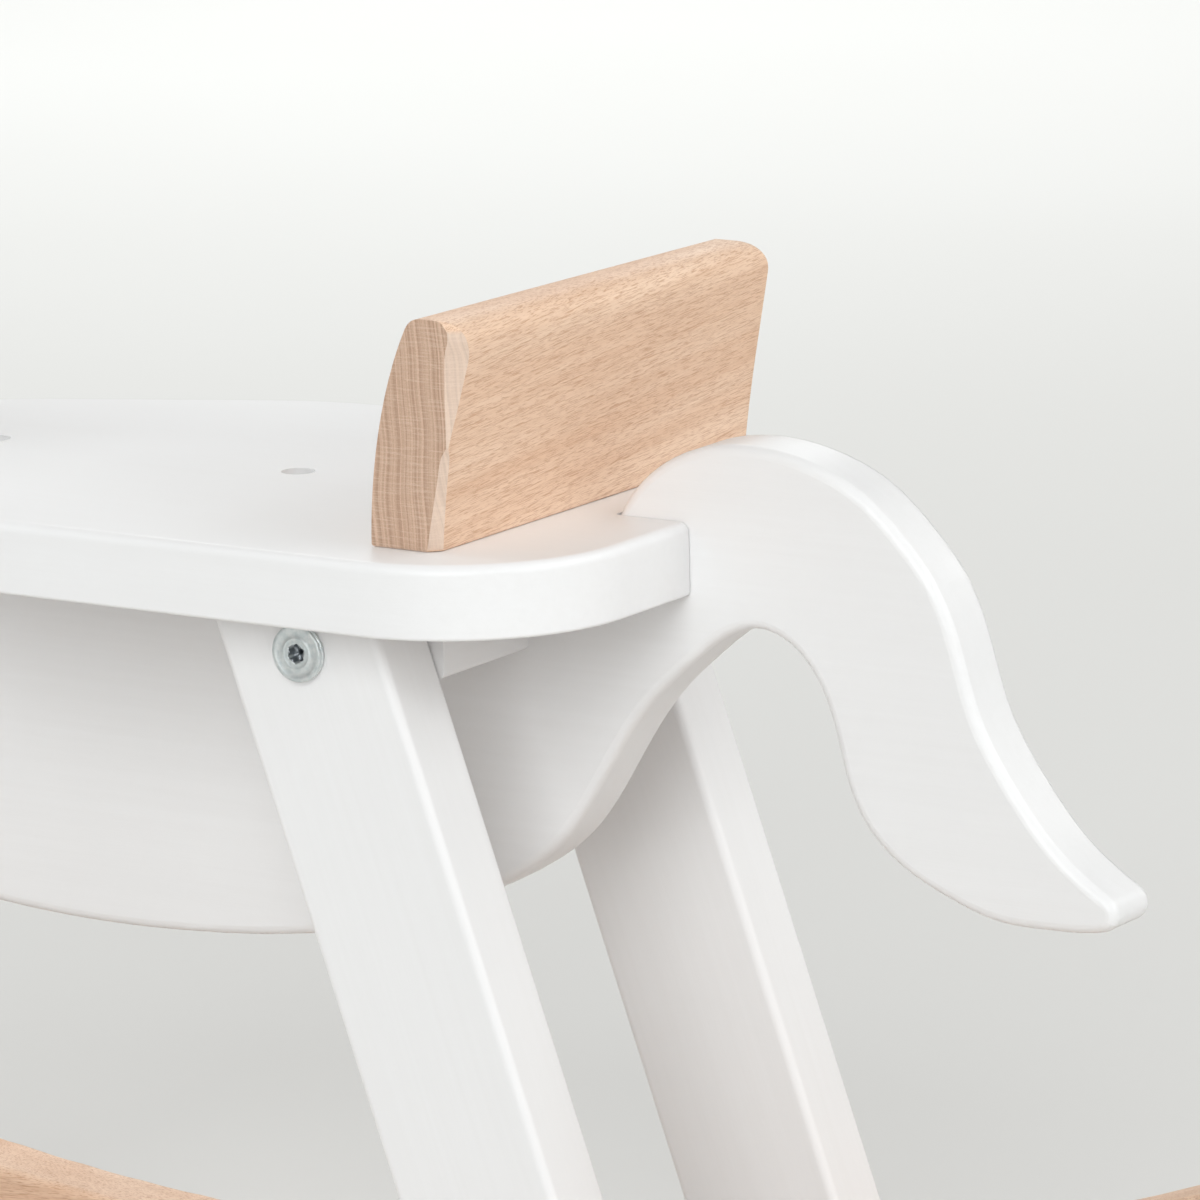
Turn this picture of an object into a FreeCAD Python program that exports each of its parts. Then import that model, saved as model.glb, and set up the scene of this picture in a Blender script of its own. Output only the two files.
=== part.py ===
import FreeCAD, Part
import math
import os

# Rocking horse built from flat boards, in millimetres.
# +X points to the head, +Y to the horse's left, +Z up. The origin is on the floor, in the
# middle plane, under the lowest line of the rockers.

V = FreeCAD.Vector

# --- driving dimensions -----------------------------------------------------------------
board = 20.0                  # seat, body panel and corner blocks
seat_top = 300.0              # height of the sitting surface
edge_radius = 2.8             # rounding on the painted boards

seat_half_width = 93.5
seat_rear = -200.0
seat_taper_start = -15.3      # where the sides begin to run in towards the neck
seat_taper_apex = 189.7       # where the two tapering sides would meet
slot_clearance = 0.3          # each side of the body panel
notch = (-177.5, 76.0)        # stretch of the body panel that lies under the seat
slot_overrun = 0.8            # the seat's slots run this far past the panel
slot_corner_radius = 1.5
slot_beyond = 60.0            # the slot's cutter runs this far past the seat's rear edge
seat_rear_radius = 50.0       # corners of the seat's outline
seat_side_radius = 90.0
seat_nose_radius = 64.0
seat_under_radius = 1.0       # small easing of the lower edges

leg_width = 50.0
leg_thickness = 23.0
leg_slope = 0.3546            # run along X for each unit of drop
leg_top_x = 114.0             # middle of the leg at the underside of the seat
leg_inner_y = 51.0
leg_edge_radius = 2.5
foot_gap = 8.0                # foot stops this far inside the rocker's lower edge
leg_screw_drop = 11.1         # leg screw on the leg's centre line, this far under the seat

block_length = 60.0
block_shift = 4.0             # blocks sit a little further out than the leg's top
block_edge_radius = 1.6

rocker_radius = 900.0
rocker_depth = 50.0
rocker_thickness = 23.0
rocker_half_angle = 22.5

rail_angle = 18.0
rail_width = 50.0
screw_spacing = 20.0          # between the two screws of a foot
rail_screw_spacing = 28.0

backrest_rear_x = -163.3      # rear face at the seat
backrest_depth = 21.0
backrest_ends = (-80.0, 75.0)
backrest_height = 62.0
backrest_bend = 33.0          # height at which the faces turn further back
front_lean = (3.9, 13.5)      # how far the front face has gone back at the bend and the top
rear_lean = (4.7, 9.7)
bend_radius = 110.0
front_top_radius = 5.0
rear_top_radius = 8.0
backrest_foot_radius = 0.8
facet_leg = 2.2               # planed rear corners of the backrest
facet_lean = 0.15

bar_radius = 12.0
handle_x, handle_z, handle_half_length = 160.0, 440.0, 115.0
footrest_z, footrest_half_length = 125.0, 122.0
bar_end_radius = 5.0

eye_x, eye_z, eye_radius = 226.0, 478.0, 7.0
eye_proud = 1.2

stop_radius = 7.0
stop_height = 6.0
stop_inset = 4.0              # depth of the stop's seat in the rocker
stop_angle_inset = 1.6        # degrees from the end of the rocker's arc
stop_rim_radius = 1.2

seat_screw_x = (-66.5, 38.5)
seat_hole_radius = 4.7
seat_hole_depth = 13.0

# --- values that follow from them -------------------------------------------------------
seat_bottom = seat_top - board
half_board = board / 2
leg_outer_y = leg_inner_y + leg_thickness
leg_angle = math.degrees(math.atan(leg_slope))
leg_half_run = leg_width / 2 / math.cos(math.radians(leg_angle))
block_x = leg_top_x + block_shift
block_z = seat_bottom - half_board
leg_screw_z = seat_bottom - leg_screw_drop
leg_screw_x = leg_top_x + leg_slope * leg_screw_drop
rocker_mid_radius = rocker_radius - rocker_depth / 2
leg_axis = V(leg_slope, 0, -1).normalize()

# Fasteners: radius and length of the shank, radius of the head
washer_head_screw = {"shank": 3.0, "length": 58.0, "head": 7.8}
short_washer_screw = {"shank": 3.0, "length": 40.0, "head": 7.8}
slim_screw = {"shank": 2.0, "length": 42.0, "head": 4.0}
short_slim_screw = {"shank": 2.0, "length": 30.0, "head": 4.0}
long_screw = {"shank": 2.5, "length": 70.0, "head": 4.5}
screw_recess = 2.0            # depth of the straight mouth above a countersunk head
head_sink = 1.5               # how far a countersunk head lies below its surface
washer_head_height = 2.4
socket_radius = 2.8
socket_depth = 2.6
lobe_radius = 0.7
dowel_radius = 4.0
dowel_length = 40.0
dowel_in_leg = 15.2
screw_shift = 16.8            # dowels and block screws lie this far to each side of the block
seat_block_screw_y = 24.0
seat_block_screw_shift = 8.4
backrest_screw_y = 52.0
backrest_screw_inset = 8.8
handle_screw_reach = 38.0
handle_screw_recess = 12.0
footrest_screw_recess = 4.0

edge_stretch = 7              # points of the silhouette in each of its edges

# --- the silhouette of the body panel ---------------------------------------------------
# A closed smooth line: from the seat's rear slot over the tail, along the belly, round the
# head, down the neck and back inside the seat's thickness, where a notch is cut for the seat.
silhouette = [
    (-177.5, 300.0), (-186.0, 311.0), (-202.0, 319.8), (-219.0, 322.0), (-236.0, 319.4),
    (-252.0, 312.6), (-264.5, 302.0), (-274.8, 289.5), (-281.4, 274.5), (-287.2, 256.0),
    (-297.5, 238.4), (-311.0, 222.4), (-323.4, 213.2), (-327.9, 209.0), (-327.4, 204.6),
    (-322.0, 202.0), (-309.0, 201.0), (-293.0, 201.4), (-277.5, 206.0), (-263.0, 213.2),
    (-253.0, 222.5), (-247.0, 234.5), (-243.4, 248.0), (-238.6, 260.0), (-230.7, 269.0), (-221.5, 272.6),
    (-211.5, 270.2), (-201.0, 262.6), (-188.0, 250.8), (-176.5, 235.8), (-166.0, 218.8),
    (-155.5, 205.6), (-138.0, 193.2), (-108.0, 179.8), (-70.0, 170.4), (-35.0, 166.6),
    (0.0, 165.4), (35.0, 167.0), (80.0, 173.4), (122.0, 185.4), (160.0, 204.4),
    (190.0, 232.0), (205.0, 266.0), (207.0, 304.0), (204.0, 342.0), (208.0, 376.0),
    (220.0, 394.0), (238.0, 392.0), (256.0, 381.0), (272.0, 368.0), (287.0, 358.5),
    (301.0, 360.0), (309.5, 371.0), (311.0, 387.0), (303.0, 408.0), (286.0, 434.0),
    (265.0, 463.0), (244.0, 491.0), (226.0, 511.0), (213.0, 524.0), (207.5, 541.0),
    (204.0, 556.0), (196.6, 558.4), (189.5, 544.0), (179.0, 528.5), (158.0, 511.0),
    (136.0, 480.0), (118.0, 440.0), (103.0, 395.0), (90.0, 345.0), (76.0, 300.0),
    (60.0, 290.0), (0.0, 289.0), (-60.0, 289.0), (-120.0, 289.0), (-164.0, 290.0),
]


# --- helpers ----------------------------------------------------------------------------
def rounded_outline(corners):
    """Closed outline of straight sides and tangent arcs; each corner is (point, radius)."""
    count = len(corners)
    ends = []
    for i, (point, radius) in enumerate(corners):
        before = (corners[i - 1][0] - point).normalize()
        after = (corners[(i + 1) % count][0] - point).normalize()
        half_turn = before.getAngle(after) / 2
        if radius == 0:
            ends.append((point, point, point))
            continue
        setback = radius / math.tan(half_turn)
        bisector = (before + after).normalize()
        middle = point + bisector * (radius / math.sin(half_turn) - radius)
        ends.append((point + before * setback, middle, point + after * setback))
    edges = []
    for i, (start, middle, end) in enumerate(ends):
        if corners[i][1] > 0:
            edges.append(Part.Arc(start, middle, end).toShape())
        following = ends[(i + 1) % count][0]
        if end.distanceToPoint(following) > 1e-6:
            edges.append(Part.LineSegment(end, following).toShape())
    return Part.Wire(edges)


def smooth_outline(points, stretch):
    """Closed smooth curve through the points, cut into edges of a few points each."""
    curve = Part.BSplineCurve()
    curve.interpolate(Points=points, PeriodicFlag=True)
    stops = [curve.parameter(point) for point in points[::stretch]] + [curve.LastParameter]
    stops[0] = curve.FirstParameter
    return Part.Wire([curve.toShape(low, high) for low, high in zip(stops, stops[1:])])


def extruded(wire, direction):
    return Part.Face(wire).extrude(direction)


def box(x, y, z):
    """Box from three (low, high) pairs."""
    return Part.makeBox(x[1] - x[0], y[1] - y[0], z[1] - z[0], V(x[0], y[0], z[0]))


def cylinder(radius, length, start, direction):
    return Part.makeCylinder(radius, length, start, direction)


def rounded(shape, radius, keep):
    """Round the edges that keep(edge) chooses."""
    return shape.makeFillet(radius, [edge for edge in shape.Edges if keep(edge)])


def carved(shape, cutters):
    """Take the cutters away one after another."""
    for cutter in cutters:
        shape = shape.cut(cutter)
    return shape


def side_signs():
    return (("left", 1), ("right", -1))


def end_signs():
    return (("front", 1), ("rear", -1))


def polar(angle, radius):
    """Point in the middle plane at an angle from straight down, about the rockers' centre."""
    turn = math.radians(angle)
    return V(radius * math.sin(turn), 0, rocker_radius - radius * math.cos(turn))


# --- fasteners --------------------------------------------------------------------------
def six_lobe_socket(at, direction):
    """Cutter for the star-shaped drive socket, sunk along direction."""
    core = cylinder(socket_radius - lobe_radius, socket_depth, at, direction)
    side = direction.cross(V(0, 0, 1) if abs(direction.z) < 0.9 else V(1, 0, 0)).normalize()
    lobes = []
    for i in range(6):
        turn = FreeCAD.Rotation(direction, 60.0 * i)
        centre = at + turn.multVec(side) * (socket_radius - lobe_radius)
        lobes.append(cylinder(lobe_radius, socket_depth, centre, direction))
    return core.fuse(lobes).removeSplitter()


def pointed_shank(radius, length, at, direction):
    tip = radius * 2
    straight = cylinder(radius, length - tip, at, direction)
    point = Part.makeCone(radius, 0.4, tip, at + direction * (length - tip), direction)
    return straight.fuse(point)


def washer_screw(size, at, direction):
    """Wide flat-headed screw whose head stands on the surface at the given point."""
    disc_base = at - direction * washer_head_height
    disc = cylinder(size["head"], washer_head_height, disc_base, direction)
    rim = [edge for edge in disc.Edges if edge.CenterOfMass.distanceToPoint(disc_base) < 0.1]
    disc = disc.makeFillet(0.5, rim)
    screw = disc.fuse(pointed_shank(size["shank"], size["length"], at, direction))
    return screw.cut(six_lobe_socket(disc_base, direction)).removeSplitter()


def sunk_screw(size, at, direction):
    """Countersunk screw with its flat head's top at the given point."""
    cone_height = size["head"] - size["shank"]
    head = Part.makeCone(size["head"], size["shank"], cone_height, at, direction)
    shank_start = at + direction * cone_height
    screw = head.fuse(pointed_shank(size["shank"], size["length"], shank_start, direction))
    socket = cylinder(size["shank"] * 0.7, cone_height, at, direction)
    return screw.cut(socket).removeSplitter()


def sunk_hole(size, at, direction, recess):
    """Cutter for a countersunk screw whose head lies recess below the surface."""
    mouth = cylinder(size["head"], recess, at - direction * recess, direction)
    body = Part.makeCone(size["head"], size["shank"], size["head"] - size["shank"], at, direction)
    shank_start = at + direction * (size["head"] - size["shank"])
    return mouth.fuse([body, cylinder(size["shank"], size["length"], shank_start, direction)])


# Every fastener as (start point, direction); the head's top for sunk screws.
def leg_screw_seats():
    return [(V(end * leg_screw_x, side * leg_outer_y, leg_screw_z), V(0, -side, 0))
            for _, end in end_signs() for _, side in side_signs()]


def dowel_seats():
    return [(V(end * block_x - side * screw_shift, side * (leg_inner_y + dowel_in_leg), block_z),
             V(0, -side, 0))
            for _, end in end_signs() for _, side in side_signs()]


def block_screw_seats():
    return [(V(end * block_x + side * screw_shift, side * (leg_inner_y - head_sink), block_z),
             V(0, -side, 0))
            for _, end in end_signs() for _, side in side_signs()]


def foot_centre(end, radius):
    """Where the leg's centre line crosses a circle about the rockers' centre."""
    top = V(leg_top_x, 0, seat_bottom)
    down = V(leg_slope, 0, -1)
    reach = top - V(0, 0, rocker_radius)
    a, b, c = down.dot(down), down.dot(reach), reach.dot(reach) - radius ** 2
    point = top + down * ((math.sqrt(b * b - a * c) - b) / a)
    return V(end * point.x, 0, point.z)


def rocker_screw_seats():
    seats = []
    for _, end in end_signs():
        for radius in (rocker_mid_radius - screw_spacing / 2, rocker_mid_radius + screw_spacing / 2):
            centre = foot_centre(end, radius)
            for _, side in side_signs():
                at = V(centre.x, side * (leg_outer_y + rocker_thickness), centre.z)
                seats.append((at, V(0, -side, 0)))
    return seats


def rail_screw_seats():
    seats = []
    spread = math.degrees(rail_screw_spacing / 2 / rocker_mid_radius)
    for _, end in end_signs():
        for shift in (-spread, spread):
            centre = polar(end * rail_angle + shift, rocker_mid_radius)
            for _, side in side_signs():
                at = V(centre.x, side * (leg_outer_y + rocker_thickness), centre.z)
                seats.append((at, V(0, -side, 0)))
    return seats


def seat_screw_seats():
    return [(V(x, 0, seat_top - seat_hole_depth), V(0, 0, -1)) for x in seat_screw_x]


def seat_block_screw_seats():
    """Up through the rear blocks into the seat; the front blocks lie ahead of it."""
    x = -block_x - seat_block_screw_shift
    return [(V(x, side * seat_block_screw_y, seat_bottom - board + head_sink), V(0, 0, 1))
            for _, side in side_signs()]


def backrest_screw_seats():
    x = backrest_rear_x + backrest_screw_inset
    return [(V(x, side * backrest_screw_y, seat_bottom + head_sink), V(0, 0, 1))
            for _, side in side_signs()]


def handle_screw_seat():
    return (V(handle_x - handle_screw_reach, 0, handle_z), V(1, 0, 0))


def footrest_x():
    return leg_top_x + leg_slope * (seat_bottom - footrest_z)


def footrest_screw_seats():
    inward = V(-math.cos(math.radians(leg_angle)), 0, -math.sin(math.radians(leg_angle)))
    at = V(footrest_x(), 0, footrest_z) - inward * (leg_width / 2 - head_sink)
    middle = (leg_inner_y + leg_outer_y) / 2
    return [(at + V(0, side * middle, 0), inward) for _, side in side_signs()]


def shank_cutters(size, seats):
    return [cylinder(size["shank"], size["length"], at, direction) for at, direction in seats]


def dowel_cutters():
    return [cylinder(dowel_radius, dowel_length, at, direction) for at, direction in dowel_seats()]


def sunk_cutters(size, seats, recess):
    return [sunk_hole(size, at, direction, recess) for at, direction in seats]


# --- boards -----------------------------------------------------------------------------
def handle_cutter():
    return cylinder(bar_radius, board * 2, V(handle_x, -board, handle_z), V(0, 1, 0))


def make_body_panel():
    """Head, body and tail in one board, standing in the middle plane."""
    points = [V(x, -half_board, z) for x, z in silhouette]
    panel = extruded(smooth_outline(points, edge_stretch), V(0, board, 0))
    panel = rounded(panel, edge_radius, lambda edge: edge.BoundBox.YLength < 0.01)
    panel = panel.cut(box(notch, (-board, board), (seat_bottom, seat_top + 10.0)))
    eye = cylinder(eye_radius, board * 2, V(eye_x, -board, eye_z), V(0, 1, 0))
    cutters = [handle_cutter(), eye]
    cutters += sunk_cutters(long_screw, block_screw_seats(), screw_recess)
    cutters += sunk_cutters(long_screw, seat_screw_seats(), screw_recess)
    cutters += sunk_cutters(slim_screw, [handle_screw_seat()], handle_screw_recess)
    return carved(panel, cutters)


def make_seat():
    """Board with a tapering front, slotted at both ends for the body panel."""
    corners = [
        (V(seat_rear, -seat_half_width, seat_bottom), seat_rear_radius),
        (V(seat_taper_start, -seat_half_width, seat_bottom), seat_side_radius),
        (V(seat_taper_apex, 0, seat_bottom), seat_nose_radius),
        (V(seat_taper_start, seat_half_width, seat_bottom), seat_side_radius),
        (V(seat_rear, seat_half_width, seat_bottom), seat_rear_radius),
    ]
    seat = extruded(rounded_outline(corners), V(0, 0, board))
    seat = rounded(seat, edge_radius, lambda edge: edge.BoundBox.ZMin > seat_top - 0.1)
    seat = rounded(seat, seat_under_radius, lambda edge: edge.BoundBox.ZMax < seat_bottom + 0.1)
    half_slot = half_board + slot_clearance
    for inner, outer in ((notch[0] + slot_overrun, seat_rear - slot_beyond),
                         (notch[1] - slot_overrun, seat_taper_apex)):
        slot = rounded_outline([
            (V(inner, -half_slot, seat_bottom), slot_corner_radius),
            (V(outer, -half_slot, seat_bottom), 0),
            (V(outer, half_slot, seat_bottom), 0),
            (V(inner, half_slot, seat_bottom), slot_corner_radius),
        ])
        seat = seat.cut(extruded(slot, V(0, 0, board)))
    cutters = []
    for at, direction in seat_screw_seats():
        cutters.append(cylinder(seat_hole_radius, seat_hole_depth, at, V(0, 0, 1)))
    cutters += sunk_cutters(long_screw, seat_screw_seats(), screw_recess)
    cutters += sunk_cutters(short_slim_screw, seat_block_screw_seats(), screw_recess)
    cutters += sunk_cutters(slim_screw, backrest_screw_seats(), screw_recess)
    return carved(seat, cutters)


def make_backrest():
    """Beech back board: it leans and bends backwards, and its rear corners are planed."""
    first, last = backrest_ends
    bend, top = seat_top + backrest_bend, seat_top + backrest_height
    rear, front = backrest_rear_x, backrest_rear_x + backrest_depth
    side = rounded_outline([
        (V(front, first, seat_top), backrest_foot_radius),
        (V(front - front_lean[0], first, bend), bend_radius),
        (V(front - front_lean[1], first, top), front_top_radius),
        (V(rear - rear_lean[1], first, top), rear_top_radius),
        (V(rear - rear_lean[0], first, bend), bend_radius),
        (V(rear, first, seat_top), backrest_foot_radius),
    ])
    shape = extruded(side, V(0, last - first, 0))
    cutters = [corner_facet_cutter(first, -1), corner_facet_cutter(last, 1)]
    cutters += sunk_cutters(slim_screw, backrest_screw_seats(), screw_recess)
    return carved(shape, cutters)


def corner_facet_cutter(end_y, side):
    """Wedge that planes a flat facet on a rear corner; it follows the board's lean."""
    reach = 30.0
    lean = V(-facet_lean, 0, 1)
    edge = V(backrest_rear_x + facet_leg, end_y, seat_top)
    outer = edge + V(reach, side * reach, 0)
    inner = edge - V(reach, side * reach, 0)
    corner = V(inner.x, outer.y, seat_top)
    triangle = Part.makePolygon([outer, inner, corner, outer])
    triangle.translate(lean * -facet_leg)
    return extruded(triangle, lean * (2 * backrest_height))


def make_leg(end, side):
    """Slanting leg whose foot laps the rocker; a front leg's top is round about its screw."""
    y = min(side * leg_inner_y, side * leg_outer_y)
    drop = leg_screw_drop if end > 0 else 0.0
    centre = V(end * (leg_top_x + leg_slope * drop), y, seat_bottom - drop)
    half = V(end * leg_half_run, 0, 0)
    if end > 0:
        half = V(leg_axis.z, 0, -leg_axis.x) * (-leg_width / 2)
    along = V(end * leg_axis.x, 0, leg_axis.z) * (seat_bottom * 1.2)
    corners = [centre - half, centre + half, centre + half + along, centre - half + along]
    leg = extruded(Part.makePolygon(corners + corners[:1]), V(0, leg_thickness, 0))
    if end > 0:
        top = cylinder(leg_width / 2, leg_thickness, centre, V(0, 1, 0))
        leg = leg.fuse(top).removeSplitter()
    reach = rocker_radius - foot_gap
    leg = leg.common(cylinder(reach, leg_thickness, V(0, y, rocker_radius), V(0, 1, 0)))
    flat_top = seat_bottom - leg_edge_radius if end < 0 else seat_top
    leg = rounded(leg, leg_edge_radius, lambda edge: edge.BoundBox.ZMin < flat_top)
    cutters = shank_cutters(washer_head_screw, leg_screw_seats()) + dowel_cutters()
    cutters += shank_cutters(short_washer_screw, rocker_screw_seats())
    if end > 0:
        cutters.append(footrest_cutter())
        cutters += sunk_cutters(slim_screw, footrest_screw_seats(), footrest_screw_recess)
    return carved(leg, cutters)


def footrest_cutter():
    start = V(footrest_x(), -footrest_half_length, footrest_z)
    return cylinder(bar_radius, 2 * footrest_half_length, start, V(0, 1, 0))


def make_block(end, side):
    """Corner block between the body panel and a leg, under the seat."""
    x = end * block_x
    y = sorted((side * half_board, side * leg_inner_y))
    block = box((x - block_length / 2, x + block_length / 2), y, (seat_bottom - board, seat_bottom))
    hidden = seat_bottom if end > 0 else seat_bottom - 0.1
    block = rounded(block, block_edge_radius, lambda edge: edge.BoundBox.YLength > 1.0
                    and edge.BoundBox.ZMax <= hidden + 0.01)
    cutters = shank_cutters(washer_head_screw, leg_screw_seats()) + dowel_cutters()
    cutters += sunk_cutters(long_screw, block_screw_seats(), screw_recess)
    if end < 0:
        cutters += sunk_cutters(short_slim_screw, seat_block_screw_seats(), screw_recess)
    return carved(block, cutters)


def stop_seats(side):
    y = side * (leg_outer_y + rocker_thickness / 2)
    seats = []
    for _, end in end_signs():
        at = polar(end * (rocker_half_angle - stop_angle_inset), rocker_radius - stop_inset)
        outward = (at - V(0, 0, rocker_radius)).normalize()
        seats.append((at + V(0, y, 0), outward))
    return seats


def make_rocker(side):
    """Curved runner on the outer side of the legs."""
    y = min(side * leg_outer_y, side * (leg_outer_y + rocker_thickness))
    angle = rocker_half_angle
    lift = V(0, y, 0)
    inner, outer = rocker_radius - rocker_depth, rocker_radius
    cap = math.degrees(rocker_depth / 2 / rocker_mid_radius)
    wire = Part.Wire([
        Part.Arc(polar(-angle, outer) + lift, polar(0, outer) + lift,
                 polar(angle, outer) + lift).toShape(),
        Part.Arc(polar(angle, outer) + lift, polar(angle + cap, rocker_mid_radius) + lift,
                 polar(angle, inner) + lift).toShape(),
        Part.Arc(polar(angle, inner) + lift, polar(0, inner) + lift,
                 polar(-angle, inner) + lift).toShape(),
        Part.Arc(polar(-angle, inner) + lift, polar(-angle - cap, rocker_mid_radius) + lift,
                 polar(-angle, outer) + lift).toShape(),
    ])
    rocker = extruded(wire, V(0, rocker_thickness, 0))
    rocker = rounded(rocker, edge_radius, lambda edge: edge.BoundBox.YLength < 0.01)
    cutters = shank_cutters(short_washer_screw, rocker_screw_seats())
    cutters += shank_cutters(washer_head_screw, rail_screw_seats())
    cutters += [cylinder(stop_radius, 2 * stop_inset, at, outward)
                for at, outward in stop_seats(side)]
    return carved(rocker, cutters)


def make_rocker_stops():
    """Rubber buttons let into the rockers near their tips."""
    stops = []
    for _, side in side_signs():
        for at, outward in stop_seats(side):
            stop = cylinder(stop_radius, stop_height, at, outward)
            face = at + outward * stop_height
            rim = [edge for edge in stop.Edges if edge.CenterOfMass.distanceToPoint(face) < 0.1]
            stops.append(stop.makeFillet(stop_rim_radius, rim))
    return stops


def make_rail(end):
    """Flat board that ties the two rockers together."""
    centre = polar(end * rail_angle, rocker_mid_radius)
    half = rail_width / 2
    rail = box((-half, half), (-leg_outer_y, leg_outer_y), (-half_board, half_board))
    rail = rounded(rail, edge_radius, lambda edge: edge.BoundBox.YLength > 2 * leg_outer_y - 0.1)
    rail.rotate(V(0, 0, 0), V(0, 1, 0), -end * rail_angle)
    rail.translate(centre)
    return carved(rail, shank_cutters(washer_head_screw, rail_screw_seats()))


def make_bar(x, z, half_length):
    """Round bar across the horse with rounded ends."""
    bar = cylinder(bar_radius, 2 * half_length, V(x, -half_length, z), V(0, 1, 0))
    return rounded(bar, bar_end_radius, lambda edge: edge.BoundBox.YLength < 0.01)


def make_handle_bar():
    bar = make_bar(handle_x, handle_z, handle_half_length)
    return carved(bar, sunk_cutters(slim_screw, [handle_screw_seat()], screw_recess))


def make_footrest_bar():
    bar = make_bar(footrest_x(), footrest_z, footrest_half_length)
    return carved(bar, sunk_cutters(slim_screw, footrest_screw_seats(), screw_recess))


def make_eye_plug():
    """Dark plug right through the head, slightly domed on both sides."""
    half = half_board + eye_proud
    plug = cylinder(eye_radius, 2 * half, V(eye_x, -half, eye_z), V(0, 1, 0))
    return rounded(plug, eye_proud - 0.1, lambda edge: edge.BoundBox.YLength < 0.01)


def make_leg_dowels():
    return [cylinder(dowel_radius, dowel_length, at, direction) for at, direction in dowel_seats()]


def washer_screws(size, seats):
    return [washer_screw(size, at, direction) for at, direction in seats]


def sunk_screws(size, seats):
    return [sunk_screw(size, at, direction) for at, direction in seats]


# --- the assembly -----------------------------------------------------------------------
def all_parts():
    parts = {
        "body_panel": [make_body_panel()],
        "seat": [make_seat()],
        "backrest": [make_backrest()],
        "handle_bar": [make_handle_bar()],
        "footrest_bar": [make_footrest_bar()],
        "eye_plug": [make_eye_plug()],
        "rocker_stops": make_rocker_stops(),
        "leg_dowels": make_leg_dowels(),
        "leg_screws": washer_screws(washer_head_screw, leg_screw_seats()),
        "rocker_screws": washer_screws(short_washer_screw, rocker_screw_seats()),
        "rail_screws": washer_screws(washer_head_screw, rail_screw_seats()),
        "seat_screws": sunk_screws(long_screw, seat_screw_seats()),
        "block_screws": sunk_screws(long_screw, block_screw_seats()),
        "seat_block_screws": sunk_screws(short_slim_screw, seat_block_screw_seats()),
        "backrest_screws": sunk_screws(slim_screw, backrest_screw_seats()),
        "handle_screw": sunk_screws(slim_screw, [handle_screw_seat()]),
        "footrest_screws": sunk_screws(slim_screw, footrest_screw_seats()),
    }
    for side_name, side in side_signs():
        parts["rocker_" + side_name] = [make_rocker(side)]
        for end_name, end in end_signs():
            parts["leg_" + end_name + "_" + side_name] = [make_leg(end, side)]
            parts["corner_block_" + end_name + "_" + side_name] = [make_block(end, side)]
    for end_name, end in end_signs():
        parts["rocker_rail_" + end_name] = [make_rail(end)]
    return parts


os.makedirs("parts", exist_ok=True)
for name, shapes in all_parts().items():
    solids = [solid for shape in shapes for solid in shape.Solids]
    whole = solids[0] if len(solids) == 1 else Part.makeCompound(solids)
    whole.exportStep("parts/" + name + ".step")
    print(name, len(solids), "solid(s)", round(whole.Volume / 1000.0, 2), "cm3")
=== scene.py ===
import math

import bpy
from mathutils import Matrix, Vector


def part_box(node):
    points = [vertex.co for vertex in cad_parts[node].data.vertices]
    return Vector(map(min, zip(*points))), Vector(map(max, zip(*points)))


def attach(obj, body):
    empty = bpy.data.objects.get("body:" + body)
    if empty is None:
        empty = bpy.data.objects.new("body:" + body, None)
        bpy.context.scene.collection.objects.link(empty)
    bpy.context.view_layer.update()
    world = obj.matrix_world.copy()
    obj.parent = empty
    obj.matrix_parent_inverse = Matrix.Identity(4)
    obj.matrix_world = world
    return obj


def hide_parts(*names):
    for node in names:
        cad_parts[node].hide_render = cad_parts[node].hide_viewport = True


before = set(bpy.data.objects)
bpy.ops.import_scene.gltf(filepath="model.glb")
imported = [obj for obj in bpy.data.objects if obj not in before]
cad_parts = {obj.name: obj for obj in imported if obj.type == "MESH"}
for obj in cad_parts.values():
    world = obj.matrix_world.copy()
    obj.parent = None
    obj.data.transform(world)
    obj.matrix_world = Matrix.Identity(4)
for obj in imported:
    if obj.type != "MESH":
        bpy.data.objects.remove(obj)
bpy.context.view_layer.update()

# Rocking horse: satin white boards, a beech backrest and rockers, zinc-plated screws.
# Metres throughout, in the frame's own axes: +X to the head, +Y to the horse's left, +Z up.

MM = 0.001


# --- places read from the frame -----------------------------------------------------------
def corners(node):
    low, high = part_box(node)
    return Vector(low), Vector(high)


seat_top = corners("seat")[1].z
rest_low, rest_high = corners("backrest")


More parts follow.
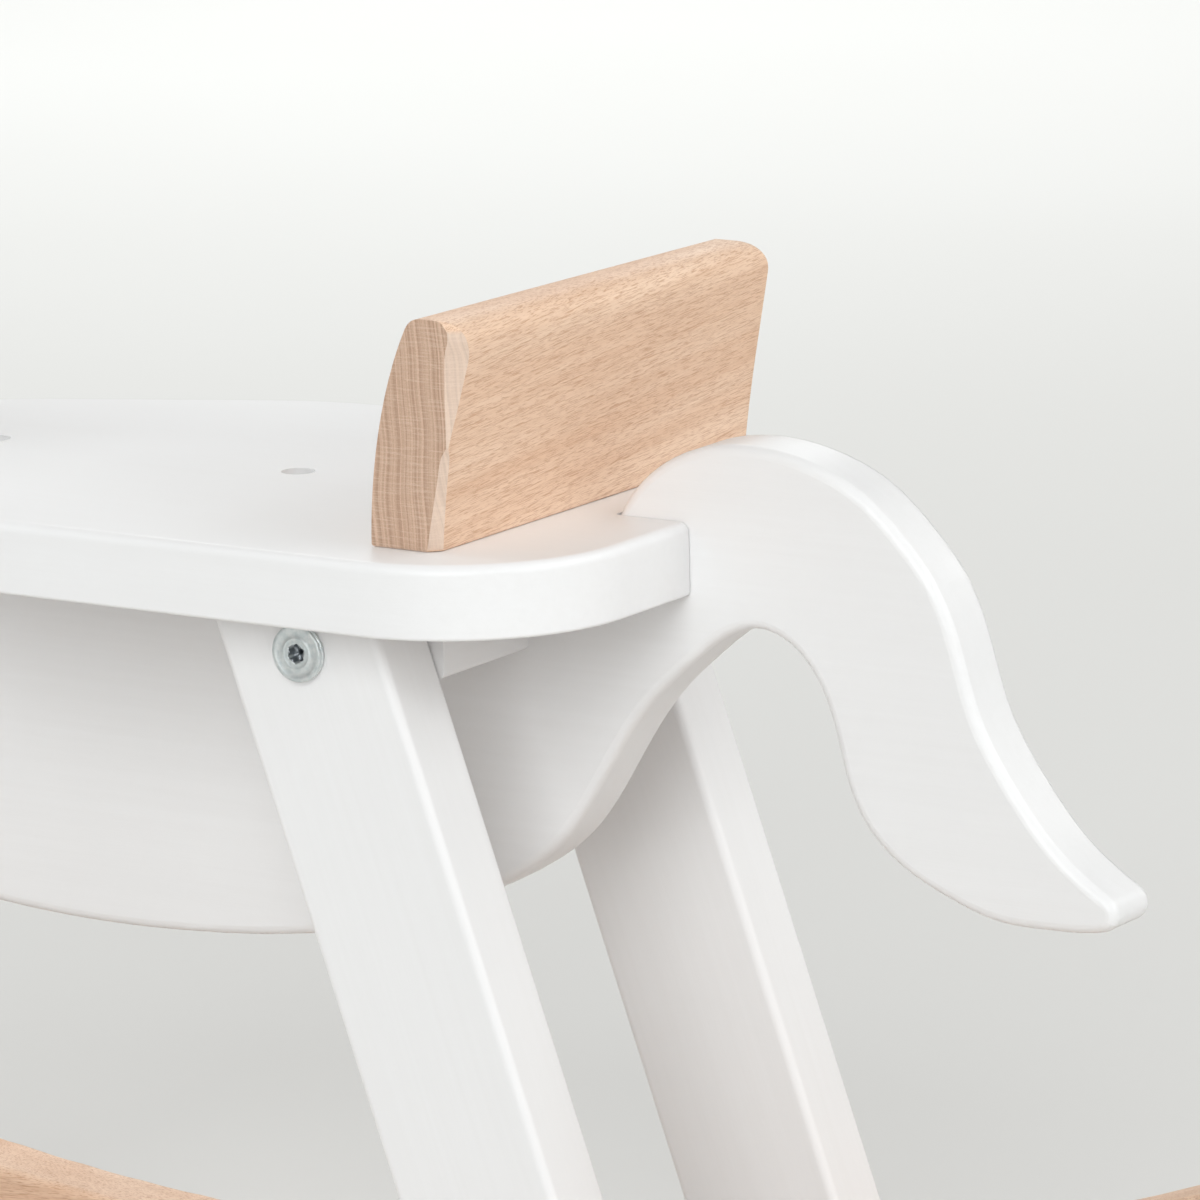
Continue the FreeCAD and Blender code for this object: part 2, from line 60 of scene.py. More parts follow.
# --- shader helpers -----------------------------------------------------------------------
class Shader:
    """A material with one Principled shader, and short calls that add nodes to it."""

    def __init__(self, name, roughness=0.5, metallic=0.0, specular=0.5,
                 coat=0.0, coat_roughness=0.2):
        self.material = bpy.data.materials.new(name)
        self.material.use_nodes = True
        self.tree = self.material.node_tree
        self.surface = self.tree.nodes["Principled BSDF"]
        self.surface.inputs["Roughness"].default_value = roughness
        self.surface.inputs["Metallic"].default_value = metallic
        self.surface.inputs["Specular IOR Level"].default_value = specular
        self.surface.inputs["Coat Weight"].default_value = coat
        self.surface.inputs["Coat Roughness"].default_value = coat_roughness

    def add(self, kind, output=0, inputs=None, **settings):
        """Adds a node, sets or links its inputs, and returns one of its outputs."""
        made = self.tree.nodes.new("ShaderNode" + kind)
        for key, value in settings.items():
            setattr(made, key, value)
        for key, value in (inputs or {}).items():
            self.put(made.inputs[key], value)
        return made.outputs[output]

    def put(self, socket, value):
        if isinstance(value, bpy.types.NodeSocket):
            self.tree.links.new(value, socket)
        else:
            socket.default_value = value

    def place(self):
        return self.add("TexCoord", "Object")

    def along(self, vector, turn, scale):
        """Coordinates turned and then scaled: small scales stretch a pattern out."""
        return self.add("Mapping", inputs={
            "Vector": self.add("Mapping", inputs={"Vector": vector, "Rotation": turn}),
            "Scale": scale})

    def split(self, vector):
        """The three parts of a vector, found by "X", "Y" and "Z"."""
        made = self.tree.nodes.new("ShaderNodeSeparateXYZ")
        self.put(made.inputs[0], vector)
        return made.outputs

    def noise(self, vector, scale, detail=2.0, rough=0.5):
        return self.add("TexNoise", "Fac", inputs={
            "Vector": vector, "Scale": scale, "Detail": detail, "Roughness": rough})

    def noise_along(self, vector, turn, scale, detail=2.0, rough=0.5):
        """Noise drawn out along a turned axis, with its own scale on each axis."""
        return self.noise(self.along(vector, turn, scale), 1.0, detail, rough)

    def noise_1d(self, value, scale, detail, rough):
        return self.add("TexNoise", "Fac", noise_dimensions="1D", inputs={
            "W": value, "Scale": scale, "Detail": detail, "Roughness": rough})

    def math(self, operation, a, b=0.0):
        return self.add("Math", inputs={0: a, 1: b}, operation=operation)

    def fit(self, value, low, high, new_low=0.0, new_high=1.0):
        """A value moved from one range to another and held inside it."""
        return self.add("MapRange", inputs={
            "Value": value, "From Min": low, "From Max": high,
            "To Min": new_low, "To Max": new_high})

    def blend(self, amount, a, b):
        made = self.tree.nodes.new("ShaderNodeMix")
        made.data_type = "RGBA"
        self.put(made.inputs["Factor"], amount)
        self.put(made.inputs["A"], a)
        self.put(made.inputs["B"], b)
        return made.outputs["Result"]

    def bump(self, height, distance, strength, under=None):
        inputs = {"Height": height, "Distance": distance, "Strength": strength}
        if under is not None:
            inputs["Normal"] = under
        return self.add("Bump", inputs=inputs)

    def finish(self, colour, roughness, normal=None):
        self.put(self.surface.inputs["Base Color"], colour)
        self.put(self.surface.inputs["Roughness"], roughness)
        if normal is not None:
            self.put(self.surface.inputs["Normal"], normal)
        return self.material


# --- colours, linear; a pair gives the two ends of a pattern --------------------------------
PAINT = ((0.808, 0.798, 0.798, 1.0), (0.826, 0.818, 0.820, 1.0))
BEECH_SIDE = ((0.870, 0.638, 0.475, 1.0), (0.785, 0.524, 0.362, 1.0))
BEECH_STREAK = (0.620, 0.370, 0.230, 1.0)
BEECH_FIBRE = (0.850, 0.640, 0.490, 1.0)
BEECH_FLECK = (0.500, 0.245, 0.130, 1.0)
BEECH_END = ((0.660, 0.460, 0.340, 1.0), (0.460, 0.290, 0.200, 1.0))
BEECH_RAY = (0.760, 0.580, 0.460, 1.0)
BEECH_PORE = (0.400, 0.245, 0.165, 1.0)
BEECH_PLANED = (0.880, 0.730, 0.620, 1.0)
ZINC_TURNED = ((0.64, 0.70, 0.71, 1.0), (0.78, 0.815, 0.815, 1.0))
ZINC_MARK = (0.90, 0.92, 0.92, 1.0)
# painted shade: the colour laid into the screws' drive sockets, where the recess is in shade
ZINC_SOCKET_PAINTED_SHADE = (0.27, 0.29, 0.31, 1.0)
ZINC_PLAIN = ((0.46, 0.49, 0.50, 1.0), (0.62, 0.64, 0.63, 1.0))
RUBBER = ((0.020, 0.020, 0.021, 1.0), (0.075, 0.072, 0.068, 1.0))
LACQUER = ((0.006, 0.006, 0.007, 1.0), (0.022, 0.020, 0.019, 1.0))
FLOOR = ((0.700, 0.690, 0.672, 1.0), (0.715, 0.706, 0.690, 1.0))

# --- materials ----------------------------------------------------------------------------
STRAIGHT = (0.0, 0.0, 0.0)
SLANT = (0.0, math.radians(-5.0), 0.0)   # the beech grain runs a little off the board's length
RING_SPACING = 0.0010
RING_WARP = 0.014                        # metres that the growth rings wander
RING_TILT_X, RING_TILT_Z = 0.012, 0.05   # how the layers lean along and across the board
FLECK_SHARE = 0.56
PLANED_SHARE = 0.46
PLANED_FACING = (0.62, 0.68)             # how far a face turns endwise to count as planed
END_FACING = (0.74, 0.86)                # and as end grain
UV_REACH = 10.0                          # millimetres from a screw's axis where UV Y is 1
SOCKET_PAINTED_SHADE_EDGE = (0.27, 0.24)               # UV Y where the painted shade in the socket begins and is full


def painted_wood(name, turn):
    """Satin white paint. The grain of the board, along its length, shows through faintly."""
    s = Shader(name, specular=0.4, coat=0.12, coat_roughness=0.25)
    place = s.place()
    grain = s.noise_along(place, turn, (9.0, 420.0, 420.0), detail=4.0, rough=0.6)
    pores = s.noise_along(place, turn, (60.0, 2600.0, 2600.0))
    orange_peel = s.noise(place, 900.0, detail=1.0)
    clouds = s.noise(place, 14.0, detail=3.0)
    tone = s.math("ADD", s.math("MULTIPLY", grain, 0.6), s.math("MULTIPLY", clouds, 0.4))
    colour = s.blend(s.fit(tone, 0.35, 0.65), *PAINT)
    rough = s.fit(s.math("ADD", grain, clouds), 0.7, 1.3, 0.36, 0.47)
    normal = s.bump(grain, 0.00016, 0.28)
    normal = s.bump(pores, 0.00005, 0.4, under=normal)
    normal = s.bump(orange_peel, 0.00003, 0.4, under=normal)
    return s.finish(colour, rough, normal)


def beech(name, turn):
    """Oiled beech with its length along the turned X axis: growth rings as layers across the
    thickness, dense short flecks along the grain, a darker striped end grain, and paler wood
    where a corner is planed off."""
    s = Shader(name, specular=0.3, coat=0.05, coat_roughness=0.35)
    place = s.add("Mapping", inputs={"Vector": s.place(), "Rotation": turn})
    axes = s.split(place)
    warp = s.noise_along(place, STRAIGHT, (5.0, 14.0, 14.0))
    layer = s.math("ADD", axes["Y"], s.math("MULTIPLY", warp, RING_WARP))
    layer = s.math("ADD", layer, s.math("MULTIPLY", axes["X"], RING_TILT_X))
    layer = s.math("ADD", layer, s.math("MULTIPLY", axes["Z"], RING_TILT_Z))
    ring = s.noise_1d(s.math("MULTIPLY", layer, 1 / RING_SPACING), 1.0, 3.0, 0.65)

    band = s.noise_along(place, SLANT, (2.5, 60.0, 95.0), detail=3.0, rough=0.55)
    streak = s.noise_along(place, SLANT, (14.0, 300.0, 620.0), detail=3.0, rough=0.6)
    fibre = s.noise_along(place, SLANT, (90.0, 2400.0, 2600.0), detail=3.0, rough=0.65)
    long_fleck = s.noise_along(place, SLANT, (150.0, 2400.0, 4200.0), detail=1.0)
    short_fleck = s.noise_along(place, SLANT, (300.0, 3200.0, 5200.0), detail=1.0)
    fleck = s.math("MAXIMUM", s.fit(long_fleck, 0.56, 0.66), s.fit(short_fleck, 0.58, 0.68))

    side = s.blend(s.fit(band, 0.36, 0.64), *BEECH_SIDE)
    side = s.blend(s.fit(streak, 0.45, 0.75, 0.0, 0.40), side, BEECH_STREAK)
    side = s.blend(s.fit(fibre, 0.40, 0.75, 0.0, 0.30), side, BEECH_FIBRE)
    side = s.blend(s.math("MULTIPLY", fleck, FLECK_SHARE), side, BEECH_FLECK)

    ray = s.noise_along(place, STRAIGHT, (30.0, 130.0, 2300.0))
    pore = s.noise_along(place, STRAIGHT, (300.0, 2600.0, 2600.0))
    end = s.blend(s.fit(ring, 0.36, 0.64), *BEECH_END)
    end = s.blend(s.fit(ray, 0.48, 0.68, 0.0, 0.40), end, BEECH_RAY)
    end = s.blend(s.fit(pore, 0.45, 0.75, 0.0, 0.35), end, BEECH_PORE)
    planed = s.blend(PLANED_SHARE, end, BEECH_PLANED)

    turned = s.add("Mapping", inputs={
        "Vector": s.add("TexCoord", "Normal"), "Rotation": turn}, vector_type="NORMAL")
    endwise = s.math("ABSOLUTE", s.split(turned)["X"])
    colour = s.blend(s.fit(endwise, *PLANED_FACING), side, planed)
    colour = s.blend(s.fit(endwise, *END_FACING), colour, end)
    rough = s.fit(fibre, 0.3, 0.7, 0.42, 0.56)
    normal = s.bump(fibre, 0.00010, 0.35)
    normal = s.bump(s.math("SUBTRACT", 1.0, fleck), 0.00009, 0.6, under=normal)
    normal = s.bump(ring, 0.0002, 0.15, under=normal)
    return s.finish(colour, rough, normal)


def turned_zinc(name):
    """Zinc-plated steel with lathe marks and painted shade in the drive socket; the UV map holds
    angle and distance from the axis.
    """
    s = Shader(name, metallic=1.0)
    from_axis = s.split(s.add("UVMap"))["Y"]
    marks = s.noise_1d(from_axis, 55.0, 4.0, 0.7)
    cloud = s.noise(s.place(), 700.0, detail=3.0)
    scratch = s.noise_along(s.place(), (0.3, 0.9, 0.5), (200.0, 5200.0, 900.0))
    colour = s.blend(s.fit(cloud, 0.35, 0.65), *ZINC_TURNED)
    colour = s.blend(s.fit(marks, 0.55, 0.8, 0.0, 0.5), colour, ZINC_MARK)
    # painted shade: the drive socket turns dark towards its bottom, standing in for the shade in
    # the recess
    colour = s.blend(s.fit(from_axis, *SOCKET_PAINTED_SHADE_EDGE), colour, ZINC_SOCKET_PAINTED_SHADE)
    rough = s.fit(s.math("ADD", marks, scratch), 0.7, 1.3, 0.30, 0.48)
    normal = s.bump(marks, 0.00006, 0.7)
    normal = s.bump(scratch, 0.00002, 0.5, under=normal)
    return s.finish(colour, rough, normal)


def plain_zinc(name):
    """Zinc-plated steel of the countersunk screws, cloudy with fine scratches."""
    s = Shader(name, metallic=1.0)
    place = s.place()
    cloud = s.noise(place, 500.0, detail=4.0)
    scratch = s.noise_along(place, (0.2, 0.4, 0.1), (300.0, 4200.0, 4200.0))
    colour = s.blend(s.fit(cloud, 0.35, 0.65), *ZINC_PLAIN)
    rough = s.fit(scratch, 0.35, 0.7, 0.26, 0.45)
    return s.finish(colour, rough, s.bump(scratch, 0.00003, 0.5))


def rubber(name):
    s = Shader(name, specular=0.3)
    place = s.place()
    grit = s.noise(place, 2500.0, detail=2.0)
    dust = s.noise(place, 120.0, detail=4.0)
    colour = s.blend(s.fit(dust, 0.45, 0.75), *RUBBER)
    rough = s.fit(grit, 0.3, 0.7, 0.62, 0.85)
    return s.finish(colour, rough, s.bump(grit, 0.0001, 0.5))


def eye_lacquer(name):
    s = Shader(name, specular=0.6, coat=0.8, coat_roughness=0.05)
    place = s.place()
    haze = s.noise(place, 300.0, detail=3.0)
    colour = s.blend(s.fit(haze, 0.4, 0.7), *LACQUER)
    rough = s.fit(haze, 0.3, 0.7, 0.08, 0.18)
    return s.finish(colour, rough, s.bump(haze, 0.00003, 0.3))


def studio_floor(name):
    s = Shader(name, specular=0.2, roughness=0.75)
    cloud = s.noise(s.place(), 1.2, detail=2.0)
    colour = s.blend(s.fit(cloud, 0.3, 0.7), *FLOOR)
    return s.finish(colour, s.fit(cloud, 0.3, 0.7, 0.72, 0.80))


# --- mesh helpers -------------------------------------------------------------------------
def mesh_piece(name, points, faces, material, uvs=None):
    """A mesh object that rides on the horse."""
    mesh = bpy.data.meshes.new(name)
    mesh.from_pydata([tuple(point) for point in points], [], faces)
    mesh.validate()
    if uvs is not None:
        layer = mesh.uv_layers.new(name="axis")
        for loop in mesh.loops:
            layer.data[loop.index].uv = uvs[loop.vertex_index]
    for polygon in mesh.polygons:
        polygon.use_smooth = True
    mesh.materials.append(material)
    piece = bpy.data.objects.new(name, mesh)
    bpy.context.scene.collection.objects.link(piece)
    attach(piece, "root")
    return piece


def ring_faces(first, rings, count):
    """Quads between neighbouring closed rings of count points, numbered from first."""
    faces = []
    for ring in range(rings - 1):
        low = first + ring * count
        for i in range(count):
            j = (i + 1) % count
            faces.append((low + i, low + j, low + count + j, low + count + i))
    return faces


def soften(piece, width, angle):
    """Rounds the sharp edges and shades by angle, with both applied to the mesh."""
    bevel = piece.modifiers.new("soften", "BEVEL")
    bevel.width = width
    bevel.segments = 3
    bevel.limit_method = "ANGLE"
    bevel.angle_limit = math.radians(angle)
    bevel.harden_normals = True
    depsgraph = bpy.context.evaluated_depsgraph_get()
    mesh = bpy.data.meshes.new_from_object(piece.evaluated_get(depsgraph))
    piece.modifiers.clear()
    old = piece.data
    piece.data = mesh
    bpy.data.meshes.remove(old)
    mesh.name = piece.name


# --- washer-head screws -------------------------------------------------------------------
# Millimetres. Heights are measured from the wood, outwards.
HEAD_RADIUS = 7.8
HEAD_HEIGHT = 2.4
AROUND = 96                   # points in each ring
SHANK_RADIUS = 2.9
THREAD_CORE, THREAD_CREST, THREAD_PITCH = 2.25, 2.95, 2.6
THREAD_STEP = 0.4             # distance between rings of the thread
THREAD_FROM = 10.0            # depth where the thread begins
FIRST_TURN, TURN_STEP = 0.35, 1.7   # how far each socket is turned, in radians
SAME_HEAD = 2.2               # head radii within which points belong to one head


def socket_radius(angle):
    """Outline of the six-lobe drive socket, in millimetres."""
    return 2.36 + 0.42 * math.cos(6 * angle)


def thread_radius(angle, depth):
    phase = (depth / THREAD_PITCH - angle / (2 * math.pi)) % 1.0
    return THREAD_CORE + (THREAD_CREST - THREAD_CORE) * max(0.0, 1.0 - abs(phase - 0.5) * 5.0)


def screw_rings(length):
    """Rings of (radius at an angle, height) from the tip to the rim, the face and the socket."""
    rings = [(lambda a: 0.25, -length), (lambda a: 1.1, -length + 2.0)]
    depth = length - 4.0
    while depth > THREAD_FROM:
        rings.append((lambda a, d=depth: thread_radius(a, d), -depth))
        depth -= THREAD_STEP
    rings += [(lambda a: SHANK_RADIUS, -9.0), (lambda a: SHANK_RADIUS, -0.2)]
    profile = [
        (HEAD_RADIUS - 0.45, 0.0), (HEAD_RADIUS - 0.45, 0.22), (HEAD_RADIUS - 0.08, 0.34),
        (HEAD_RADIUS, 0.50), (HEAD_RADIUS, 0.95), (HEAD_RADIUS - 0.12, 1.08),
        (HEAD_RADIUS - 0.95, 1.14), (HEAD_RADIUS - 0.95, 1.46), (HEAD_RADIUS - 0.24, 1.52),
        (HEAD_RADIUS - 0.10, 1.66), (HEAD_RADIUS - 0.10, 2.12), (HEAD_RADIUS - 0.16, 2.30),
        (HEAD_RADIUS - 0.30, HEAD_HEIGHT), (6.55, HEAD_HEIGHT - 0.03), (6.40, HEAD_HEIGHT - 0.11),
        (5.3, HEAD_HEIGHT - 0.13), (4.45, HEAD_HEIGHT - 0.13), (4.28, HEAD_HEIGHT - 0.02),
        (4.05, HEAD_HEIGHT), (3.85, HEAD_HEIGHT - 0.05), (3.65, HEAD_HEIGHT - 0.12),
        (3.2, HEAD_HEIGHT - 0.12)]
    rings += [(lambda a, r=r: r, h) for r, h in profile]
    rings += [
        (lambda a: socket_radius(a) + 0.10, HEAD_HEIGHT - 0.02),
        (lambda a: socket_radius(a), HEAD_HEIGHT - 0.14),
        (lambda a: socket_radius(a) - 0.10, 0.25),
        (lambda a: socket_radius(a) * 0.62, -0.15),
        (lambda a: 0.05, -0.75)]
    return rings


def make_screws(name, node, seats, length, material):
    """One piece holding a screw for each (centre on the surface, outward side, turn)."""
    points, faces, uvs = [], [], []
    rings = screw_rings(length)
    for centre, side, turn in seats:
        first = len(points)
        for radius, height in rings:
            for i in range(AROUND):
                angle = 2 * math.pi * i / AROUND
                r = radius(angle)
                across = side * (angle + turn)
                points.append(centre + Vector((math.cos(across) * r, side * height,
                                               math.sin(across) * r)) * MM)
                uvs.append((i / AROUND, r / UV_REACH))
        made = ring_faces(first, len(rings), AROUND)
        made.append(tuple(first + i for i in range(AROUND)))
        last = first + (len(rings) - 1) * AROUND
        made.append(tuple(last + AROUND - 1 - i for i in range(AROUND)))
        faces += made
    piece = mesh_piece(name, points, faces, material, uvs)
    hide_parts(node)


def screw_seats(node):
    """Where the heads of a node's washer-head screws bear on the wood, from its own mesh."""
    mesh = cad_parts[node].data
    low, high = corners(node)
    groups = []
    for vertex in mesh.vertices:
        side = 1 if vertex.co.y > 0 else -1
        if abs(vertex.co.y) < high.y - HEAD_HEIGHT * MM:
            continue
        for group in groups:
            gap = Vector((group[0].x - vertex.co.x, 0, group[0].z - vertex.co.z)).length
            if group[1] == side and gap < SAME_HEAD * HEAD_RADIUS * MM:
                group[2].append(vertex.co)
                break
        else:
            groups.append((vertex.co, side, [vertex.co]))
    seats = []
    for number, (_, side, found) in enumerate(groups):
        x = (min(p.x for p in found) + max(p.x for p in found)) / 2
        z = (min(p.z for p in found) + max(p.z for p in found)) / 2
        centre = Vector((x, side * (high.y - HEAD_HEIGHT * MM), z))
        seats.append((centre, side, FIRST_TURN + number * TURN_STEP))
    return seats


# --- backrest -----------------------------------------------------------------------------
# The end's outline in mm: forwards from the foot of the rear face, and up from the seat. Each
# line is Bezier pieces with their number of rows; both meet at the ridge.
REST_DEPTH = 21.0
RIDGE = (2.4, 62.0)
REAR_LINE = [
    (3, [(1.2, 0.0), (0.5, 0.1), (0.3, 0.9)]),
    (14, [(0.3, 0.9), (-1.0, 12.0), (-2.9, 24.0), (-5.2, 36.0)]),
    (8, [(-5.2, 36.0), (-8.2, 52.5)]),
    (12, [(-8.2, 52.5), (-9.3, 58.6), (-6.2, 61.8), (-0.5, 61.95)]),
    (2, [(-0.5, 61.95), RIDGE])]
FRONT_LINE = [
    (3, [(REST_DEPTH - 0.9, 0.0), (REST_DEPTH - 0.1, 0.1), (REST_DEPTH, 0.9)]),
    (22, [(REST_DEPTH, 0.9), (REST_DEPTH - 0.1, 20.0), (17.0, 42.0), (8.8, 58.8)]),
    (12, [(8.8, 58.8), (7.5, 61.2), (6.0, 61.95), (3.8, 61.95)]),
    (2, [(3.8, 61.95), RIDGE])]
# Width of the left end's planed corner at each height: a long cut below, a lens-shaped one above.
FACET = [(0.0, 3.1), (9.0, 2.5), (19.0, 1.9), (25.0, 1.9), (28.5, 0.35), (40.0, 2.7),
         (52.0, 4.8), (57.0, 3.6), (60.5, 2.6), (62.0, 0.5)]
RIGHT_FACET = 2.0             # the right end's planed corner is this wide all the way up
FACET_LIMIT = 0.45            # a cut takes at most this share of the board's thickness
TOP_FALL = 0.02               # the board is this share lower at its right end
FOOT_ROUNDING = 0.9
RIGHT_CORNER = 9.0            # the right end's top corner is rounded, the left one is not
EDGE_ROUNDING, EDGE_ANGLE = 0.3, 22.0
COLUMNS, FACET_COLUMNS, SPANS = 14, 2, 24   # an end's columns, and the spans between the ends


def arc_inset(radius, rise):
    """How far a quarter circle has drawn in at a rise along its radius."""
    rise = min(max(rise, 0.0), radius)
    return radius - math.sqrt(radius ** 2 - rise ** 2)


def facet_width(height):
    for (h0, w0), (h1, w1) in zip(FACET, FACET[1:]):
        if height <= h1:
            return w0 + (w1 - w0) * (height - h0) / (h1 - h0)
    return FACET[-1][1]


def bezier(points, t):
    """Point on a Bezier curve of any order."""
    while len(points) > 1:
        points = [a.lerp(b, t) for a, b in zip(points, points[1:])]
    return points[0]


def outline_points(pieces):
    line = []
    for rows, control in pieces:
        control = [Vector(point) for point in control]
        line += [bezier(control, row / rows) for row in range(rows)]
    return line + [Vector(pieces[-1][1][-1])]


def make_backrest(material):
    """Board bent backwards along its height, with a round top and planed rear corners."""
    ends = (rest_low.y / MM, rest_high.y / MM)
    rear_line, front_line = outline_points(REAR_LINE), outline_points(FRONT_LINE)
    rows = len(rear_line) - 1
    foot = Vector((rest_high.x - REST_DEPTH * MM, 0, seat_top))

    def cap_point(row, column, facet):
        """Point of an end cap and how far it stands in from the end of the board."""
        rear, front = rear_line[row], front_line[row]
        gap = (front - rear).length
        if gap < 1e-6:
            return rear, 0.0
        wide = min(facet, gap * FACET_LIMIT)
        if column <= FACET_COLUMNS:
            into = wide * column / FACET_COLUMNS
        else:
            into = wide + (gap - wide) * (column - FACET_COLUMNS) / (COLUMNS - FACET_COLUMNS)
        return rear.lerp(front, into / gap), max(0.0, wide - into)

    points, caps = [], ({}, {})

    def add(row, column, share):
        """New point of the board at a share of the way from its right end to its left."""
        spot, inset = cap_point(row, column, facet_width(rear_line[row].y))
        right_spot, right_inset = cap_point(row, column, RIGHT_FACET)
        spot = right_spot.lerp(spot, share)
        inset += arc_inset(FOOT_ROUNDING, FOOT_ROUNDING - spot.y)
        right_inset += arc_inset(FOOT_ROUNDING, FOOT_ROUNDING - spot.y)
        right_inset += arc_inset(RIGHT_CORNER, spot.y - RIDGE[1] + RIGHT_CORNER)
        y = (ends[0] + right_inset) * (1 - share) + (ends[1] - inset) * share
        points.append(foot + Vector((spot.x, y, spot.y * (1 - TOP_FALL * (1 - share)))) * MM)
        return len(points) - 1

    faces = []
    for share, cap in enumerate(caps):
        ridge = add(rows, 0, share)
        for column in range(COLUMNS + 1):
            for row in range(rows):
                cap[row, column] = add(row, column, share)
            cap[rows, column] = ridge
        for row in range(rows):
            for column in range(COLUMNS):
                quad = [cap[row, column], cap[row, column + 1],
                        cap[row + 1, column + 1], cap[row + 1, column]]
                quad = list(dict.fromkeys(quad))
                faces.append(tuple(quad[::-1] if share else quad))

    # The loop round an end: up the rear, over the ridge, down the front, back under.
    rim = [(row, 0) for row in range(rows + 1)]
    rim += [(row, COLUMNS) for row in range(rows - 1, -1, -1)]
    rim += [(0, column) for column in range(COLUMNS - 1, 0, -1)]
    strips = [[caps[0][spot] for spot in rim]]
    for span in range(1, SPANS):
        strips.append([add(row, column, span / SPANS) for row, column in rim])
    strips.append([caps[1][spot] for spot in rim])
    for low, high in zip(strips, strips[1:]):
        for i in range(len(rim)):
            j = (i + 1) % len(rim)
            faces.append((low[i], low[j], high[j], high[i]))
    piece = mesh_piece("backrest_board", points, faces, material)
    soften(piece, EDGE_ROUNDING * MM, EDGE_ANGLE)
    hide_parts("backrest")


# --- materials on the CAD nodes -----------------------------------------------------------
def dress(node, material):
    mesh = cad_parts[node].data
    mesh.materials.clear()
    mesh.materials.append(material)


LEG_TURN = math.radians(19.5)
along_x = (0.0, 0.0, 0.0)
along_y = (0.0, 0.0, math.radians(-90.0))
down_rear_leg = (0.0, math.radians(90.0) - LEG_TURN, 0.0)
down_front_leg = (0.0, math.radians(90.0) + LEG_TURN, 0.0)

white_boards = painted_wood("white_boards", along_x)
white_rear_legs = painted_wood("white_rear_legs", down_rear_leg)
white_front_legs = painted_wood("white_front_legs", down_front_leg)
white_blocks = painted_wood("white_blocks", along_y)
beech_across = beech("beech_across", along_y)
beech_along = beech("beech_along", along_x)
zinc_turned = turned_zinc("zinc_turned")
zinc_plain = plain_zinc("zinc_plain")

dress("body_panel", white_boards)
dress("seat", white_boards)
for side_name in ("left", "right"):
    dress("leg_rear_" + side_name, white_rear_legs)
    dress("leg_front_" + side_name, white_front_legs)
    dress("rocker_" + side_name, beech_along)
    for end_name in ("front", "rear"):
        dress("corner_block_" + end_name + "_" + side_name, white_blocks)
for node in ("rocker_rail_front", "rocker_rail_rear", "handle_bar", "footrest_bar",
             "leg_dowels", "backrest"):
    dress(node, beech_across)
for node in ("seat_screws", "block_screws", "seat_block_screws", "backrest_screws",
             "handle_screw", "footrest_screws", "leg_screws", "rocker_screws", "rail_screws"):
    dress(node, zinc_plain)
dress("rocker_stops", rubber("stop_rubber"))
dress("eye_plug", eye_lacquer("eye_lacquer"))

make_backrest(beech_across)
for piece_name, node, length in (("leg_head_screws", "leg_screws", 58.0),
                                 ("rocker_head_screws", "rocker_screws", 40.0),
                                 ("rail_head_screws", "rail_screws", 58.0)):
    make_screws(piece_name, node, screw_seats(node), length, zinc_turned)


# --- studio -------------------------------------------------------------------------------
FLOOR_HALF = 14.0
SWEEP_RADIUS, SWEEP_STEPS = 3.0, 24
CAMERA_PLACE = (-1.2553, 1.6811, 0.7074)
CAMERA_HEADING, CAMERA_PITCH, CAMERA_ROLL = (math.radians(a) for a in (32.97, 12.22, -1.20))
LENS, SENSOR = 228.0, 36.0
SKY_COLOUR = (1.0, 0.96, 0.92, 1.0)
SKY_STRENGTH = 0.275
MIDDLE = (-0.15, 0.0, 0.3)    # the part of the horse that the lights aim at
FAR_FLOOR = (1.7, -2.9, 0.0)
COOL, WARM = (0.95, 0.99, 1.0), (1.0, 0.99, 0.97)


def make_floor():
    """Large pale sweep: flat under the horse, turning up far off on its right."""
    profile = [(-FLOOR_HALF, 0.0)]
    for step in range(SWEEP_STEPS + 1):
        turn = math.pi / 2 * step / SWEEP_STEPS
        profile.append((FLOOR_HALF - SWEEP_RADIUS + SWEEP_RADIUS * math.sin(turn),
                        SWEEP_RADIUS - SWEEP_RADIUS * math.cos(turn)))
    profile.append((FLOOR_HALF, 3 * SWEEP_RADIUS))
    points, faces = [], []
    for side in (-FLOOR_HALF, FLOOR_HALF):
        for reach, lift in profile:
            points.append((side, -reach, lift))
    count = len(profile)
    for i in range(count - 1):
        faces.append((i, i + 1, count + i + 1, count + i))
    mesh = bpy.data.meshes.new("studio_floor")
    mesh.from_pydata(points, [], faces)
    for polygon in mesh.polygons:
        polygon.use_smooth = True
    mesh.materials.append(studio_floor("studio_floor"))
    floor = bpy.data.objects.new("studio_floor", mesh)
    bpy.context.scene.collection.objects.link(floor)


def softbox(name, place, target, size, power, colour):
    light = bpy.data.lights.new(name, "AREA")
    light.shape = "RECTANGLE"
    light.size, light.size_y = size
    light.energy = power
    light.color = colour
    lamp = bpy.data.objects.new(name, light)
    lamp.location = place
    lamp.rotation_euler = (Vector(target) - Vector(place)).to_track_quat("-Z", "Y").to_euler()
    bpy.context.scene.collection.objects.link(lamp)


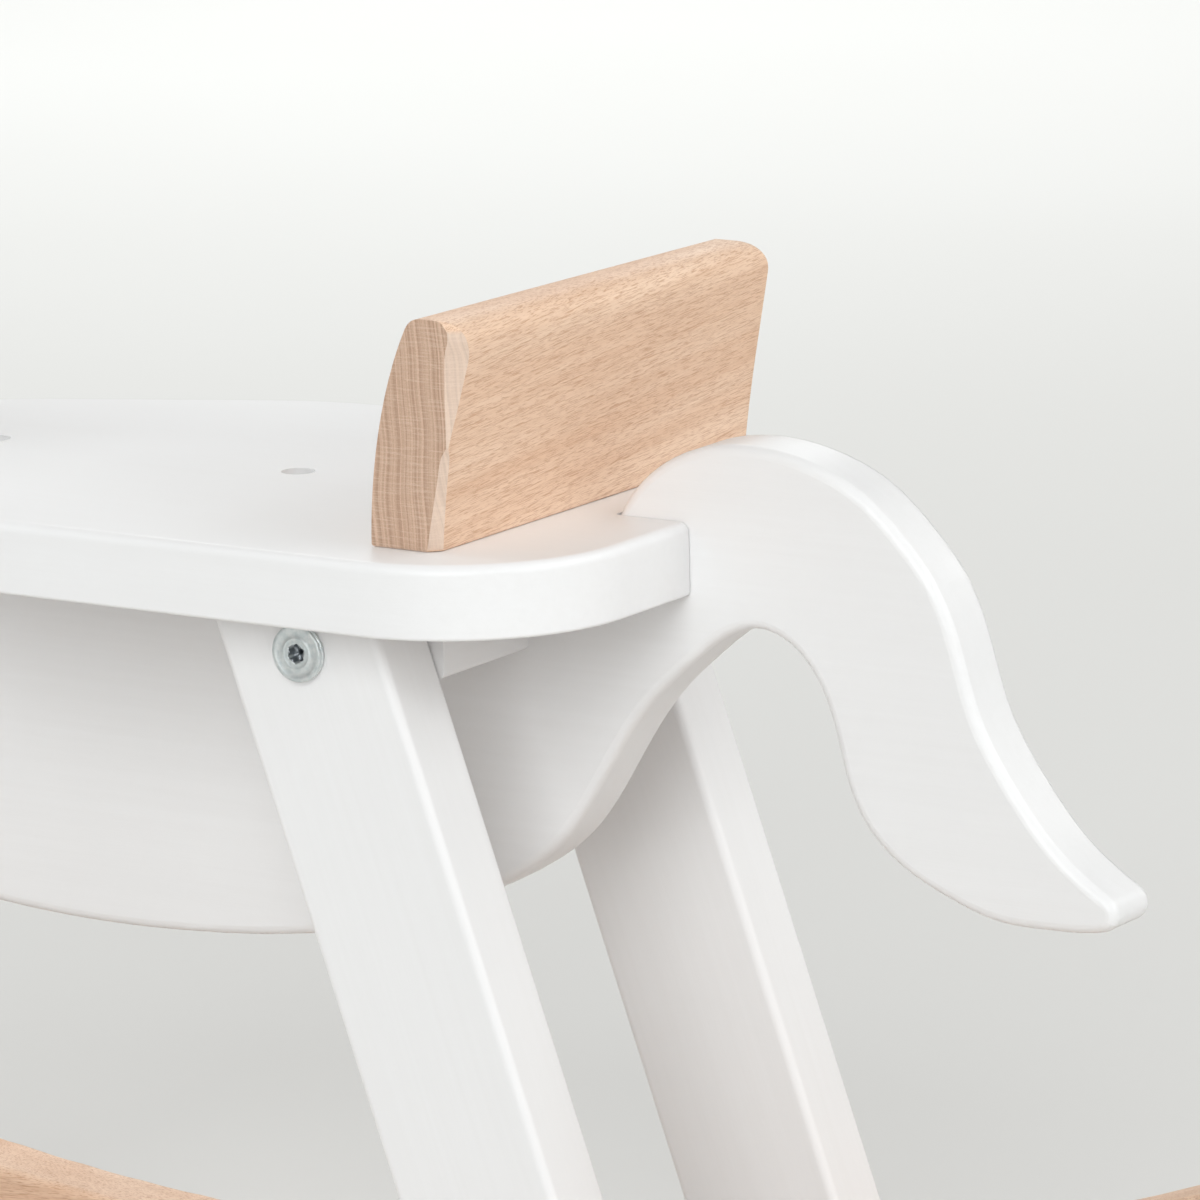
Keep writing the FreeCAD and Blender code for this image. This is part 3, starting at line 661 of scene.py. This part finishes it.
def make_camera():
    """Long lens, behind the horse on its left, looking a little down on the seat."""
    level = math.cos(CAMERA_PITCH)
    look = Vector((math.sin(CAMERA_HEADING) * level, -math.cos(CAMERA_HEADING) * level,
                   -math.sin(CAMERA_PITCH)))
    right = Vector((-math.cos(CAMERA_HEADING), -math.sin(CAMERA_HEADING), 0.0))
    up = right.cross(look)
    right, up = (right * math.cos(CAMERA_ROLL) + up * math.sin(CAMERA_ROLL),
                 up * math.cos(CAMERA_ROLL) - right * math.sin(CAMERA_ROLL))
    camera_data = bpy.data.cameras.new("camera")
    camera_data.lens = LENS
    camera_data.sensor_width = SENSOR
    camera_data.clip_end = 100.0
    camera = bpy.data.objects.new("camera", camera_data)
    turn = Matrix((right, up, -look)).transposed().to_4x4()
    camera.matrix_world = Matrix.Translation(CAMERA_PLACE) @ turn
    bpy.context.scene.collection.objects.link(camera)
    bpy.context.scene.camera = camera


def make_world():
    world = bpy.data.worlds.new("studio")
    world.use_nodes = True
    sky = world.node_tree.nodes["Background"]
    sky.inputs["Color"].default_value = SKY_COLOUR
    sky.inputs["Strength"].default_value = SKY_STRENGTH
    bpy.context.scene.world = world


make_floor()
make_camera()
make_world()
for name, place, aim, size, watts, colour in (
        ("front", (-1.2, 3.2, 2.0), MIDDLE, (2.4, 2.0), 85.0, COOL),
        ("left_far", (3.4, 0.4, 1.8), MIDDLE, (1.8, 1.8), 60.0, COOL),
        ("rear_high", (-3.0, -0.6, 2.2), MIDDLE, (1.4, 1.4), 28.0, COOL),
        ("rear_middle", (-3.0, 0.7, 1.5), MIDDLE, (1.4, 1.4), 13.0, COOL),
        ("back_right", (-2.0, -2.4, 2.4), MIDDLE, (1.4, 1.4), 20.0, WARM),
        ("far_floor", (1.7, -2.9, 2.0), FAR_FLOOR, (1.6, 1.6), 47.0, COOL),
        ("top_right", (-1.4, -0.6, 3.2), MIDDLE, (2.0, 2.0), 8.0, COOL),
        ("low_right", (-1.6, -3.0, 1.4), MIDDLE, (2.0, 2.0), 5.0, COOL),
        ("front_left", (0.9, 3.2, 1.4), MIDDLE, (2.4, 2.0), 3.0, COOL)):
    softbox(name, place, aim, size, watts, colour)
bpy.context.scene.view_settings.view_transform = "Standard"
